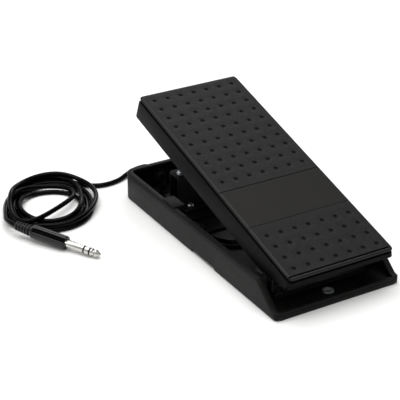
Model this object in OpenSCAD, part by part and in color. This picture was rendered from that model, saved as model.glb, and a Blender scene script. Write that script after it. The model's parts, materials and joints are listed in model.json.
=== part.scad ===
// Foot volume pedal: a moulded tray, a long treadle hinged near the heel, a
// gear-driven potentiometer and a free signal cord that ends in a stereo plug.
// X is across the pedal, +Y points to the toe end, +Z is up, and Z = 0 is the floor.

/* [Base tray] */
// Width of the tray
base_w = 109; // [105:1:115]
// Length of the tray
base_l = 230; // [226:1:240]
// Height of the side and toe walls
base_h = 23.5; // [22.5:0.5:24]
// Height of the low heel wall
front_h = 6.5; // [5:0.5:8]
// Width of the rim on top of the walls
rim_w = 4.8; // [4:0.1:5]
// Wall thickness below the rim
wall_t = 2.6; // [2:0.1:3]
// Height of the inside floor
floor_z = 2.8; // [2.4:0.1:3]
// Radius of the toe corners in plan
back_r = 9; // [6:0.5:12]
// Radius of the heel corners in plan
front_r = 3.5; // [2:0.5:5]

/* [Treadle] */
// Width of the treadle skirt
tread_w = 91; // [88:1:92]
// Length of the treadle
tread_l = 227.8; // [222:0.2:228]
// Depth of the treadle from its top face to the lower edge of the skirt
tread_deep = 19.5; // [18.5:0.1:19.6]
// Thickness of the top cover
cover_t = 3; // [2.4:0.1:3.2]
// Slope of the treadle at rest, toe up, in degrees
rest_tilt = 14.78; // [13:0.01:15]
// Distance from the axle to the heel end, along the treadle
heel_reach = 31.9; // [28:0.1:34]

/* [Drive] */
// Gear module of the sector and the pinion
gear_mod = 1; // [1:0.1:1]
// Teeth that the sector would have as a full wheel
sector_teeth = 96; // [96:1:96]
// Teeth of the pinion
pinion_teeth = 12; // [12:1:12]

/* [Cord] */
// Diameter of the cord
cord_d = 4; // [3.6:0.1:4.2]
// Height of the wound coil
coil_h = 12; // [10:1:14]

/* [Hidden] */
$fn = 64;

// Colours
shell_black = "#2a2a2b";
cover_black = "#333334";
rubber_black = "#1c1c1c";
zinc = "#a8a9ab";
dark_steel = "#3a3b3d";
nylon_white = "#d8d6cf";
nylon_black = "#202021";
chrome_grey = "#c9ccd0";
cord_black = "#191919";

// The origin is the middle of the tray and treadle together, at floor level.
heel_overhang = 2.8;
back_y = (base_l + heel_overhang) / 2;
front_y = back_y - base_l;
foot_proud = 0.6;
foot_t = 1.6;
foot_l = 18;
foot_half = 49.8;
foot_screw_ys = [front_y + 13.8, back_y - 14.4];
heel_lip = 1.7;
slope_top_y = front_y + 26.4;
slope_end_y = front_y + 5.3;
rim_t = 2.4;

// Notch under each side wall, landing tabs for the skirt, and ledges for the heel pads
notch_y0 = front_y + 84.5;
notch_y1 = front_y + 118;
notch_h = 2.3;
tab_y0 = 34.6;
tab_y1 = 53.4;
tab_top = 24.6;
tab_reach = 7.6;
heel_ledge_top = 21.4;
heel_ledge_reach = 7;
heel_pad_top = 23.5;
heel_pad_x = 45.6;
heel_pad_w = 5.2;

// Pivot
pivot_y = front_y + 35;
pivot_z = 15;
axle_r = 3;
axle_half = 42;
run_gap = 0.05;
bush_r = 4.5;
lug_x = 32;
lug_t = 4;
ear_x = 38.4;
sheet_t = 1.6;
stage_z = 5;
heel_ledge_y0 = pivot_y - 6;
heel_ledge_y1 = pivot_y + 4;
ear_r = 7;
clip_x = 40.7;
washer_x = 37.5;
bracket_screw_x = 30;
bracket_screw_y = 9;
bracket_screw_spots = [
    for (x = [-1, 1]) for (y = [-1, 1]) [x * bracket_screw_x, pivot_y + y * bracket_screw_y]
];
pilot_r = 1.6;
clear_r = 1.7;
foot_head_r = 4.4;
foot_head_h = 1.5;
shank_m3 = 1.55;
head_r = 2.8;
head_h = 1.8;

// Treadle, in its own frame with the axle as origin and its top face level
top_z = 27.5;
toe_y = tread_l - heel_reach;
heel_y = -heel_reach;
skirt_z = top_z - tread_deep;
skirt_t = 2.5;
ceiling_t = 2;
ceiling_z = top_z - cover_t - ceiling_t;
groove_h = 1.2;
groove_deep = 1.2;
cover_w = tread_w - 1;
edge_r = 2.5;
bend_y = 5.2;
heel_cut_z = skirt_z + (bend_y - heel_y) * tan(rest_tilt);
panel_toe_y = 67.6;
panel_heel_y = 25.8;
toe_rise = 0.5;
lug_ys = [-14, 16];
rib_ys = [26, 84, 112, 180];
sector_screw_xs = [9.5, 22.5];
sector_screw_y = 38;
cover_screw_xs = [-30, 30];
cover_screw_ys = [36, 100, 168];

// Gears: the sector's pitch radius, the pinion's, and the line of centres
sector_r = gear_mod * sector_teeth / 2;
pinion_r = gear_mod * pinion_teeth / 2;
mesh_angle = 10;
mesh_gap = 0.1;
centre_gap = sector_r + pinion_r + mesh_gap;
pot_y = pivot_y + centre_gap * cos(mesh_angle);
pot_z = pivot_z + centre_gap * sin(mesh_angle);
sector_x = 14;
sector_t = 4;
pressure = 20;
backlash = 0.3;

// Potentiometer along X
pot_face_x = 24.6;
pot_body_r = 8.25;
pot_body_l = 9;
pot_neck_r = 3.5;
pot_shaft_r = 3;
pot_screw_x = 32;
pot_screw_y = 5.5;

// Toe stop
toe_stop_y = 74.9;
toe_stop_half = 30;
toe_stop_z = 30;
toe_screw_x = 20.6;
toe_foot_ys = [toe_stop_y - 10.5, toe_stop_y + 11.5];
bumper_z = 39.7;
bumper_screw_x = 25.5;
bumper_screw_y = toe_stop_y - 2.6;
bumper_flange = 1.2;

// Cord exit through the toe wall
exit_x = -22;
exit_z = 12;
gland_out = 8;
gland_r = 4.5;

// The free cord: from the gland to the coil, and from the coil to the plug
lead_route = [
    [exit_x, back_y + gland_out, exit_z], [-22, 131, 12], [-22.6, 138, 10], [-26, 143.6, 7],
    [-32, 146, 4.4], [-38.5, 144.4, 2.6], [-44.5, 141.4, 2], [-51, 138.6, 2], [-57.5, 136.8, 2],
    [-64, 136.4, 2], [-70.5, 137.4, 2.4], [-76.5, 139.8, 3.4]
];
tail_route = [
    [-160.2, 97.5, 9.1], [-161.6, 103.5, 8.9], [-161.6, 110.5, 8], [-160.3, 117.5, 7], [-157.8, 124, 6.4],
    [-154.5, 129.8, 6]
];
inner_route = [
    [exit_x, back_y - 7, exit_z], [-22.6, 103.6, 11.2], [-27, 97.5, 8.4], [-34, 92, 5.6], [-37, 85, 5],
    [-37.4, 74, 5], [-37, 62, 5], [-37, 50, 5], [-37, 38, 5], [-37, 26, 5], [-36, 14, 5], [-33, 4, 5],
    [-26, -5, 5], [-16, -10, 5], [-4, -12, 5], [8, -12, 5], [18, -12, 5.4], [25, -12.4, 6.6],
    [28.8, -14.4, 8.6], [28.8, -17.4, 10.8]
];
clamp_x = -37;
clamp_y = 30;
clamp_half = 5.5;
clamp_foot = 1.8;
coil_at = [-117.5, 125.5];
coil_turn = 68;
coil_out = 38.5;
coil_in = 20;
coil_straight = 20;

// Plug: the front face of its handle, its heading and its slope
plug_at = [-135.4, 56.3, 5.6];
plug_yaw = -59;
plug_dip = 4.2;
handle_l = 33;
handle_r = 5.5;
grip_roll = 43;
boot_l = 15;
shank_r = 3.175;
sleeve_l = 16;

// ---- helpers ----

// Plan outline from y0 to y1 with one radius at the toe end and one at the heel
module plan(w, y0, y1, rb, rf) {
    translate([-w / 2, y0 + rf]) square([w, y1 - y0 - rb - rf]);
    translate([-w / 2 + rb, y1 - rb - 0.01]) square([w - 2 * rb, rb + 0.01]);
    translate([-w / 2 + rf, y0]) square([w - 2 * rf, rf + 0.01]);
    for (s = [-1, 1]) {
        translate([s * (w / 2 - rb), y1 - rb]) circle(r = rb);
        translate([s * (w / 2 - rf), y0 + rf]) circle(r = rf);
    }
}

module tray_plan(inset) {
    heel_in = min(inset, heel_lip);
    plan(base_w - 2 * inset, front_y + heel_in, back_y - inset, back_r - inset, max(front_r - inset, 0.8));
}

// Extrude a side view, drawn in Y and Z, across X
module across(x0, x1) {
    translate([x0, 0, 0]) rotate([90, 0, 90]) linear_extrude(x1 - x0) children();
}

// A rod along X
module rod_x(r, x0, x1, fn = 64) {
    translate([x0, 0, 0]) rotate([0, 90, 0]) cylinder(r = r, h = x1 - x0, $fn = fn);
}

// The treadle's own frame, placed on the axle at its resting slope
module on_treadle() {
    translate([0, pivot_y, pivot_z]) rotate([rest_tilt, 0, 0]) children();
}

module on_pot() {
    translate([0, pot_y, pot_z]) children();
}

// A pan-head screw pointing down, with a cross recess, its head seated at z = 0
module pan_screw(r, h, shank, length) {
    difference() {
        union() {
            cylinder(r = r, h = h * 0.55);
            translate([0, 0, h * 0.55]) cylinder(r1 = r, r2 = r * 0.72, h = h * 0.45);
            translate([0, 0, -length]) cylinder(r = shank, h = length);
        }
        for (a = [0, 90]) {
            rotate([0, 0, a]) translate([-r * 0.55, -0.35, h * 0.45]) cube([r * 1.1, 0.7, h]);
        }
    }
}

function unit(v) = v / norm(v);
function heading(p, i) = unit(p[min(i + 1, len(p) - 1)] - p[max(i - 1, 0)]);
function side_way(p, i) = unit(cross([0, 0, 1], heading(p, i)));
function rise_way(p, i) = cross(heading(p, i), side_way(p, i));
function ring(p, i, r, n) = [
    for (k = [0:n - 1]) p[i] + r * (cos(360 * k / n) * side_way(p, i) + sin(360 * k / n) * rise_way(p, i))
];

// One round tube swept along a route of points
module tube(p, r, n) {
    rings = len(p);
    points = [for (i = [0:rings - 1]) each ring(p, i, r, n)];
    sides = [
        for (i = [0:rings - 2]) for (k = [0:n - 1])
            [i * n + k, (i + 1) * n + k, (i + 1) * n + (k + 1) % n, i * n + (k + 1) % n]
    ];
    caps = [[for (k = [0:n - 1]) k], [for (k = [0:n - 1]) rings * n - 1 - k]];
    polyhedron(points = points, faces = concat(sides, caps), convexity = 6);
}

// ---- gear teeth ----

function involute(base, t) = base * [cos(t) + t * PI / 180 * sin(t), sin(t) - t * PI / 180 * cos(t)];
function roll_to(base, r) = sqrt(max(pow(r / base, 2) - 1, 0)) * 180 / PI;
function polar(p) = atan2(p[1], p[0]);
function turned(p, a) = [p[0] * cos(a) - p[1] * sin(a), p[0] * sin(a) + p[1] * cos(a)];

// One tooth about +X: an involute flank, its mirror image, and a foot inside the root
module tooth(teeth, tip_r, root_r) {
    pitch = gear_mod * teeth / 2;
    base = pitch * cos(pressure);
    half = (PI * gear_mod / 2 - backlash / 2) / pitch / 2 * 180 / PI;
    lean = polar(involute(base, roll_to(base, pitch))) + half;
    start = max(base, root_r);
    flank = [
        for (i = [0:4]) turned(involute(base, roll_to(base, start + (tip_r - start) * i / 4)), -lean)
    ];
    foot = (root_r - 0.4) * [cos(polar(flank[0])), sin(polar(flank[0]))];
    lower = concat([foot], flank);
    polygon(concat(lower, [for (i = [len(lower) - 1:-1:0]) [lower[i][0], -lower[i][1]]]));
}

// ---- base ----

// Side view of the tray: level walls, a slope down to the low heel wall
module tray_side(drop) {
    polygon([
        [front_y - 1, -1], [back_y + 1, -1], [back_y + 1, base_h - drop], [slope_top_y, base_h - drop],
        [slope_end_y, front_h - drop], [front_y - 1, front_h - drop]
    ]);
}

module tray_walls(inset, drop) {
    intersection() {
        difference() {
            translate([0, 0, foot_proud]) linear_extrude(base_h) tray_plan(0);
            linear_extrude(base_h + 2) tray_plan(inset);
        }
        difference() {
            across(-base_w, base_w) tray_side(0);
            if (drop > 0) across(-base_w - 1, base_w + 1) tray_side(drop);
        }
    }
}

module side_ledge(y0, y1, reach, top) {
    for (s = [-1, 1]) {
        translate([s > 0 ? base_w / 2 - rim_w - reach : -base_w / 2 + 1, y0, floor_z - 0.5])
            cube([rim_w + reach - 1, y1 - y0, top - floor_z + 0.5]);
    }
}

// Pilot holes through the floor for every screw that stands on it
module floor_pilots() {
    spots = concat(
        [for (y = foot_screw_ys) [0, y]],
        bracket_screw_spots,
        [for (x = [-toe_screw_x, toe_screw_x]) for (y = toe_foot_ys) [x, y]],
        [for (y = [-pot_screw_y, pot_screw_y]) [pot_screw_x, pot_y + y]],
        [for (x = [-clamp_half, clamp_half]) [clamp_x + x, clamp_y]]
    );
    for (p = spots) {
        translate([p[0], p[1], -1]) cylinder(r = pilot_r, h = 8);
    }
}

module foot_strips(t) {
    for (y = foot_screw_ys) {
        translate([-foot_half, y - (y < 0 ? foot_l - 4.6 : 5.6), 0]) cube([2 * foot_half, foot_l, t]);
    }
}

module base_tray() {
    color(shell_black) difference() {
        union() {
            translate([0, 0, foot_proud]) linear_extrude(floor_z - foot_proud) tray_plan(0);
            tray_walls(wall_t, 0);
            tray_walls(rim_w, rim_t);
            side_ledge(tab_y0, tab_y1, tab_reach, tab_top);
            side_ledge(heel_ledge_y0, heel_ledge_y1, heel_ledge_reach, heel_ledge_top);
            translate([-41, pivot_y - 13, floor_z - 0.5]) cube([82, 26, stage_z - floor_z + 0.5]);
            for (x = [-14, 14]) {
                translate([x - 1, -60, floor_z - 0.5]) cube([2, 40, 2]);
            }
            for (y = [20, 44]) {
                translate([-30, y - 1, floor_z - 0.5]) cube([60, 2, 2]);
            }
        }
        for (s = [-1, 1]) {
            translate([s * base_w / 2 - 3, notch_y0, -1]) cube([6, notch_y1 - notch_y0, notch_h + 1]);
        }
        translate([exit_x, back_y - 6, exit_z]) rotate([-90, 0, 0]) cylinder(r = gland_r, h = 8);
        foot_strips(foot_t);
        floor_pilots();
    }
}

// Rubber strips across the heel and the toe, let into the underside
module rubber_feet() {
    color(rubber_black) difference() {
        foot_strips(foot_t);
        for (y = foot_screw_ys) {
            translate([0, y, -1]) cylinder(r = pilot_r, h = 4);
        }
    }
}

// Wide, low-headed screws, one through each foot
module foot_screws() {
    color(zinc) for (y = foot_screw_ys) {
        translate([0, y, floor_z]) pan_screw(foot_head_r, foot_head_h, shank_m3, floor_z - 0.5);
    }
}

// Folded steel channel that carries the axle between two ears
module pivot_bracket() {
    ear_half = ear_x + sheet_t;
    color(dark_steel) difference() {
        union() {
            translate([-ear_half, pivot_y - 12, stage_z]) cube([2 * ear_half, 24, sheet_t]);
            for (x = [-ear_half, ear_x]) {
                translate([x, pivot_y - ear_r, stage_z]) cube([sheet_t, 2 * ear_r, pivot_z - stage_z]);
                translate([0, pivot_y, pivot_z]) rod_x(ear_r, x, x + sheet_t);
            }
        }
        translate([0, pivot_y, pivot_z]) rod_x(axle_r + run_gap, -ear_half - 1, ear_half + 1);
        for (p = bracket_screw_spots) {
            translate([p[0], p[1], stage_z - 1]) cylinder(r = clear_r, h = 4);
        }
    }
}

module pivot_bracket_screws() {
    color(dark_steel) for (p = bracket_screw_spots) {
        translate([p[0], p[1], stage_z + sheet_t]) pan_screw(head_r, head_h, shank_m3, 5.4);
    }
}

module pivot_axle() {
    color(chrome_grey) translate([0, pivot_y, pivot_z]) difference() {
        rod_x(axle_r, -axle_half, axle_half);
        for (s = [-1, 1]) difference() {
            rod_x(axle_r + 1, s * clip_x - 0.5, s * clip_x + 0.5);
            rod_x(axle_r - 0.6, s * clip_x - 1, s * clip_x + 1);
        }
    }
}

// Retaining clips, open on one side, in the grooves at the axle's ends
module axle_clips() {
    color(dark_steel) translate([0, pivot_y, pivot_z]) for (s = [-1, 1]) {
        difference() {
            rod_x(5.4, s * clip_x - 0.45, s * clip_x + 0.45);
            rod_x(axle_r - 0.55, s * clip_x - 1, s * clip_x + 1);
            translate([s * clip_x - 1, -1.9, -7]) cube([2, 3.8, 7]);
        }
    }
}

module friction_washers() {
    color(nylon_black) translate([0, pivot_y, pivot_z]) for (s = [-1, 1]) {
        difference() {
            rod_x(6.5, s * washer_x - 0.8, s * washer_x + 0.8);
            rod_x(axle_r + run_gap, s * washer_x - 2, s * washer_x + 2);
        }
    }
}

module heel_stop_pads() {
    color(rubber_black) for (s = [-1, 1]) {
        translate([s * heel_pad_x - heel_pad_w / 2, heel_ledge_y0 + 1, heel_ledge_top])
            cube([heel_pad_w, heel_ledge_y1 - heel_ledge_y0 - 2, heel_pad_top - heel_ledge_top]);
    }
}

// Hat-shaped steel bracket that takes the foot's load at the toe end
module toe_stop_bracket() {
    lip = 10.5;
    color(dark_steel) difference() {
        across(-toe_stop_half, toe_stop_half) polygon([
            [toe_stop_y - 7 - lip, floor_z], [toe_stop_y - 7 + sheet_t, floor_z],
            [toe_stop_y - 7 + sheet_t, toe_stop_z - sheet_t], [toe_stop_y + 7 - sheet_t, toe_stop_z - sheet_t],
            [toe_stop_y + 7 - sheet_t, floor_z], [toe_stop_y + 7 + lip, floor_z],
            [toe_stop_y + 7 + lip, floor_z + sheet_t], [toe_stop_y + 7, floor_z + sheet_t],
            [toe_stop_y + 7, toe_stop_z], [toe_stop_y - 7, toe_stop_z],
            [toe_stop_y - 7, floor_z + sheet_t], [toe_stop_y - 7 - lip, floor_z + sheet_t]
        ]);
        for (s = [-1, 1]) {
            for (y = toe_foot_ys) translate([s * toe_screw_x, y, 0]) cylinder(r = clear_r, h = 8);
            translate([s * bumper_screw_x, bumper_screw_y, toe_stop_z - 4]) cylinder(r = clear_r, h = 6);
        }
    }
}

module toe_bracket_screws() {
    color(zinc) for (s = [-1, 1]) for (y = toe_foot_ys) {
        translate([s * toe_screw_x, y, floor_z + sheet_t]) pan_screw(head_r, head_h, shank_m3, 3.4);
    }
}

// Rubber bar with thin end flanges, on top of the toe bracket
module toe_bumper() {
    color(rubber_black) difference() {
        union() {
            translate([-29, toe_stop_y - 6.5, toe_stop_z]) cube([58, 13, bumper_flange]);
            translate([-17, toe_stop_y - 5, toe_stop_z]) cube([34, 10, bumper_z - toe_stop_z]);
        }
        for (s = [-1, 1]) {
            translate([s * bumper_screw_x, bumper_screw_y, toe_stop_z - 1]) cylinder(r = clear_r, h = 5);
        }
    }
}

module bumper_screws() {
    color(zinc) for (s = [-1, 1]) {
        translate([s * bumper_screw_x, bumper_screw_y, toe_stop_z + bumper_flange])
            pan_screw(3, 2, shank_m3, 5);
    }
}

// ---- potentiometer on its bracket ----

module pot_bracket() {
    top = pot_z - floor_z + 9.5;
    color(dark_steel) difference() {
        union() {
            translate([pot_face_x - sheet_t, pot_y - 9, floor_z]) cube([sheet_t, 18, top]);
            translate([pot_face_x - sheet_t, pot_y - 9, floor_z]) cube([15, 18, sheet_t]);
        }
        on_pot() rod_x(pot_neck_r + run_gap, pot_face_x - 4, pot_face_x + 2);
        for (y = [-pot_screw_y, pot_screw_y]) {
            translate([pot_screw_x, pot_y + y, 0]) cylinder(r = clear_r, h = 8);
        }
    }
}

module pot_bracket_screws() {
    color(zinc) for (y = [-pot_screw_y, pot_screw_y]) {
        translate([pot_screw_x, pot_y + y, floor_z + sheet_t]) pan_screw(head_r, head_h, shank_m3, 3.4);
    }
}

// Can, wafer and threaded neck, bored for the shaft
module potentiometer() {
    color(zinc) on_pot() difference() {
        union() {
            rod_x(pot_body_r, pot_face_x, pot_face_x + pot_body_l);
            rod_x(pot_body_r - 1.2, pot_face_x + pot_body_l, pot_face_x + pot_body_l + 1);
            rod_x(pot_neck_r, pot_face_x - 5.4, pot_face_x + 0.1);
            translate([pot_face_x + 1, -7.5, -12]) cube([1.6, 15, 6]);
        }
        rod_x(pot_shaft_r + run_gap, pot_face_x - 6, pot_face_x + 3);
    }
}

module pot_terminals() {
    color(chrome_grey) on_pot() for (y = [-5, 0, 5]) {
        translate([pot_face_x + 2.6, y - 0.9, -14.5]) cube([0.5, 1.8, 5]);
    }
}

module pot_washer() {
    color(zinc) on_pot() difference() {
        rod_x(5.4, pot_face_x - sheet_t - 0.8, pot_face_x - sheet_t);
        rod_x(pot_neck_r + run_gap, pot_face_x - 4, pot_face_x);
    }
}

module pot_nut() {
    color(zinc) on_pot() difference() {
        rod_x(5.6, pot_face_x - sheet_t - 3, pot_face_x - sheet_t - 0.8, 6);
        rod_x(pot_neck_r + run_gap, pot_face_x - 6, pot_face_x);
    }
}

module pot_shaft() {
    color(chrome_grey) on_pot() rod_x(pot_shaft_r, sector_x - 1.8, pot_face_x + 2.6);
}

// Pinion, with a tooth space on the line of centres
module pinion_gear() {
    root = pinion_r - 1.15;
    color(nylon_white) on_pot() rotate([mesh_angle, 0, 0]) translate([sector_x - 1, 0, 0]) rotate([90, 0, 90])
        difference() {
            linear_extrude(sector_t + 1.8) {
                circle(r = root);
                for (k = [0:pinion_teeth - 1]) {
                    rotate(180 + (k + 0.5) * 360 / pinion_teeth) tooth(pinion_teeth, pinion_r + 0.85, root);
                }
            }
            translate([0, 0, -1]) cylinder(r = pot_shaft_r, h = sector_t + 5);
        }
}

// ---- cable inside the tray ----

module inner_cable() {
    color(cord_black) tube(inner_route, 1.9, 8);
}

// Saddle that holds the inner cable down
module cable_clamp() {
    color(nylon_black) difference() {
        translate([clamp_x - 8, clamp_y - 4, floor_z]) union() {
            cube([16, 8, clamp_foot]);
            translate([4.9, 0, 0]) cube([6.2, 8, 5.4]);
        }
        translate([clamp_x - 2.1, clamp_y - 5, floor_z - 1]) cube([4.2, 10, 5.3]);
        for (s = [-1, 1]) translate([clamp_x + s * clamp_half, clamp_y, 0]) cylinder(r = clear_r, h = 8);
    }
}

module clamp_screws() {
    color(dark_steel) for (s = [-1, 1]) {
        translate([clamp_x + s * clamp_half, clamp_y, floor_z + clamp_foot])
            pan_screw(2.1, 1.5, shank_m3, 3.6);
    }
}

// ---- treadle ----

// Side view of the skirt, cut level at the heel and eased up at the toe
module skirt_side() {
    polygon([
        [heel_y, top_z - cover_t], [heel_y, heel_cut_z + 1.2], [heel_y + 1.6, heel_cut_z - 0.4],
        [bend_y - 3, skirt_z + 0.9], [bend_y + 3, skirt_z + 0.1], [toe_y - 26, skirt_z],
        [toe_y - 2, skirt_z + toe_rise * 0.8], [toe_y, skirt_z + toe_rise + 1], [toe_y, top_z - cover_t]
    ]);
}

module tread_plan(inset) {
    plan(tread_w - 2 * inset, heel_y + inset, toe_y - inset, max(3.5 - inset, 0.8), max(3 - inset, 0.8));
}

module treadle_frame() {
    color(shell_black) on_treadle() difference() {
        union() {
            intersection() {
                difference() {
                    linear_extrude(top_z - cover_t) tread_plan(0);
                    translate([0, 0, -1]) linear_extrude(ceiling_z + 1) tread_plan(skirt_t);
                    translate([0, 0, top_z - cover_t - groove_h]) linear_extrude(groove_h + 1) difference() {
                        tread_plan(-2);
                        tread_plan(groove_deep);
                    }
                }
                across(-tread_w, tread_w) skirt_side();
            }
            for (y = rib_ys) {
                translate([-tread_w / 2 + 1, y, ceiling_z - 4.5]) cube([tread_w - 2, 2, 5]);
            }
            for (s = [-1, 1]) {
                across(s > 0 ? lug_x : -lug_x - lug_t, s > 0 ? lug_x + lug_t : -lug_x) union() {
                    circle(r = 7);
                    polygon([[-7, 0], [7, 0], [lug_ys[1], ceiling_z + 0.5], [lug_ys[0], ceiling_z + 0.5]]);
                }
            }
        }
        rod_x(bush_r, -lug_x - lug_t - 1, -lug_x + 1);
        rod_x(bush_r, lug_x - 1, lug_x + lug_t + 1);
        for (x = sector_screw_xs) translate([x, sector_screw_y, ceiling_z - 1]) cylinder(r = 1.3, h = 2.6);
        for (x = cover_screw_xs) for (y = cover_screw_ys) {
            translate([x, y, ceiling_z - 1]) cylinder(r = clear_r, h = 5);
        }
    }
}

// Top cover with rounded edges, a bead along the heel and two seams across
module tread_cover() {
    y0 = heel_y;
    y1 = toe_y;
    r = edge_r;
    color(cover_black) on_treadle() difference() {
        translate([0, 0, top_z - cover_t]) union() {
            linear_extrude(cover_t - r) plan(cover_w, y0, y1, r, r);
            translate([-cover_w / 2 + r, y0 + r, 0]) cube([cover_w - 2 * r, y1 - y0 - 2 * r, cover_t]);
            for (s = [-1, 1]) translate([s * (cover_w / 2 - r), y0 + r, cover_t - r]) {
                rotate([-90, 0, 0]) cylinder(r = r, h = y1 - y0 - 2 * r, $fn = 32);
                sphere(r = r, $fn = 32);
                translate([0, y1 - y0 - 2 * r, 0]) sphere(r = r, $fn = 32);
            }
            for (y = [y0 + r, y1 - r]) {
                translate([0, y, cover_t - r]) rod_x(r, -cover_w / 2 + r, cover_w / 2 - r, 32);
            }
        }
        translate([-cover_w, y0 - r * 2, top_z - cover_t - 5]) cube([2 * cover_w, tread_l + 4 * r, 5]);
        translate([-cover_w / 2 - 1, y0 + 2.4, top_z - 1]) cube([cover_w + 2, 0.9, 2]);
        translate([-cover_w / 2 - 1, panel_toe_y, top_z - 0.5]) cube([cover_w + 2, 0.7, 1]);
        translate([-cover_w / 2 - 1, panel_heel_y, top_z - 0.3]) cube([cover_w + 2, 0.5, 1]);
        for (x = cover_screw_xs) for (y = cover_screw_ys) {
            translate([x, y, top_z - cover_t - 1]) cylinder(r = 1.3, h = 3);
        }
    }
}

// Screws from below that hold the cover to the frame
module cover_screws() {
    color(zinc) on_treadle() for (x = cover_screw_xs) for (y = cover_screw_ys) {
        translate([x, y, ceiling_z]) rotate([180, 0, 0]) pan_screw(2.6, 1.6, 1.25, ceiling_t + 1.8);
    }
}

module pivot_bushes() {
    color(nylon_white) on_treadle() for (s = [-1, 1]) difference() {
        union() {
            rod_x(bush_r, s > 0 ? lug_x - 0.8 : -lug_x - lug_t, s > 0 ? lug_x + lug_t : -lug_x + 0.8);
            rod_x(6.2, s > 0 ? lug_x - 0.8 : -lug_x, s > 0 ? lug_x : -lug_x + 0.8);
        }
        rod_x(axle_r + run_gap, s * (lug_x + lug_t / 2) - 5, s * (lug_x + lug_t / 2) + 5);
    }
}

// Toothed sector about the axle, hung from the treadle by a flange
module sector_gear() {
    root = sector_r - 1.1;
    low = mesh_angle - rest_tilt - 8;
    pitch_angle = 360 / sector_teeth;
    far = 80;
    color(nylon_white) on_treadle() difference() {
        union() {
            translate([sector_x, 0, 0]) rotate([90, 0, 90]) linear_extrude(sector_t) union() {
                difference() {
                    intersection() {
                        circle(r = root, $fn = 180);
                        polygon([
                            [0, 0], far * [cos(low - 1), sin(low - 1)], far * [cos(low + 31), sin(low + 31)]
                        ]);
                    }
                    circle(r = sector_r - 10, $fn = 120);
                }
                for (k = [-2:5]) {
                    rotate(mesh_angle - rest_tilt + k * pitch_angle)
                        tooth(sector_teeth, sector_r + 0.7, root);
                }
                polygon([[38, -6], [46, 6], [45.4, 14], [45, ceiling_z - 1], [31, ceiling_z - 1], [35, 10]]);
            }
            translate([6, 30, ceiling_z - 2]) cube([20, 16, 2]);
        }
        for (x = sector_screw_xs) translate([x, sector_screw_y, ceiling_z - 4]) cylinder(r = clear_r, h = 5);
    }
}

module sector_screws() {
    color(zinc) on_treadle() for (x = sector_screw_xs) {
        translate([x, sector_screw_y, ceiling_z - 2]) rotate([180, 0, 0]) pan_screw(2.5, 1.5, 1.25, 3.4);
    }
}

// ---- cord and plug ----

// Bush in the toe wall with a short tapered boot outside
module cord_gland() {
    color(rubber_black) translate([exit_x, back_y, exit_z]) rotate([-90, 0, 0]) {
        translate([0, 0, -wall_t]) cylinder(r = gland_r, h = wall_t);
        translate([0, 0, -7]) cylinder(r = 3.6, h = 7 - wall_t);
        translate([0, 0, -wall_t - 1.2]) cylinder(r = 5.6, h = 1.2);
        cylinder(r = 6, h = 1.4);
        translate([0, 0, 1.4]) cylinder(r1 = 4.4, r2 = 3, h = gland_out - 1.4);
    }
}

module cord_lead() {
    color(cord_black) tube(lead_route, cord_d / 2, 10);
}

module coil_outline(r) {
    for (s = [-1, 1]) translate([s * coil_straight / 2, 0]) circle(r = r);
    square([coil_straight, 2 * r], center = true);
}

// The outer shape of the loosely wound, slightly oval coil
module cord_coil() {
    color(cord_black) translate([coil_at[0], coil_at[1], 0]) rotate([0, 0, coil_turn]) linear_extrude(coil_h)
        difference() {
            coil_outline(coil_out);
            coil_outline(coil_in);
        }
}

module cord_tail() {
    color(cord_black) tube(tail_route, cord_d / 2, 10);
}

// The plug's own frame: local Z runs forward from the handle's front face
module on_plug() {
    translate(plug_at) rotate([0, plug_dip, plug_yaw]) rotate([0, 90, 0]) children();
}

// Tapered boot with five ribs
module plug_boot() {
    ribs = 5;
    color(rubber_black) on_plug() translate([0, 0, -handle_l - boot_l]) {
        cylinder(r1 = 2.7, r2 = 3.6, h = boot_l);
        for (k = [0:ribs - 1]) {
            translate([0, 0, 1.2 + k * 2.8]) cylinder(r = 3.7 + 0.2 * k, h = 1.5);
        }
    }
}

// Handle with a flat groove along two opposite sides, rolled a little as the plug lies
module plug_handle() {
    color(rubber_black) on_plug() difference() {
        translate([0, 0, -handle_l]) union() {
            cylinder(r1 = 4.4, r2 = handle_r, h = 2);
            translate([0, 0, 2]) cylinder(r = handle_r, h = handle_l - 3);
            translate([0, 0, handle_l - 1]) cylinder(r1 = handle_r, r2 = 4.6, h = 1);
        }
        for (a = [0, 180]) rotate([0, 0, grip_roll + a]) {
            translate([handle_r - 0.7, -1.6, -handle_l + 3]) cube([3, 3.2, handle_l + 3]);
        }
    }
}

module plug_sleeve() {
    color(chrome_grey) on_plug() cylinder(r = shank_r, h = sleeve_l);
}

module plug_rear_insulator() {
    color(rubber_black) on_plug() translate([0, 0, sleeve_l]) cylinder(r = shank_r - 0.05, h = 1.2);
}

module plug_ring() {
    color(chrome_grey) on_plug() translate([0, 0, sleeve_l + 1.2]) cylinder(r = shank_r, h = 3.8);
}

module plug_front_insulator() {
    color(rubber_black) on_plug() translate([0, 0, sleeve_l + 5]) cylinder(r = shank_r - 0.05, h = 1.2);
}

// Turned tip: collar, waist and ball
module plug_tip() {
    color(chrome_grey) on_plug() translate([0, 0, sleeve_l + 6.2]) {
        cylinder(r = shank_r, h = 1.2);
        translate([0, 0, 1.2]) cylinder(r1 = shank_r, r2 = 2.1, h = 1);
        translate([0, 0, 2.2]) cylinder(r = 2.1, h = 0.6);
        translate([0, 0, 2.8]) cylinder(r1 = 2.1, r2 = 3.1, h = 1.4);
        translate([0, 0, 4.2]) cylinder(r1 = 3.1, r2 = 1.5, h = 3.1);
        translate([0, 0, 7.3]) cylinder(r1 = 1.5, r2 = 0.6, h = 1);
    }
}

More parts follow.
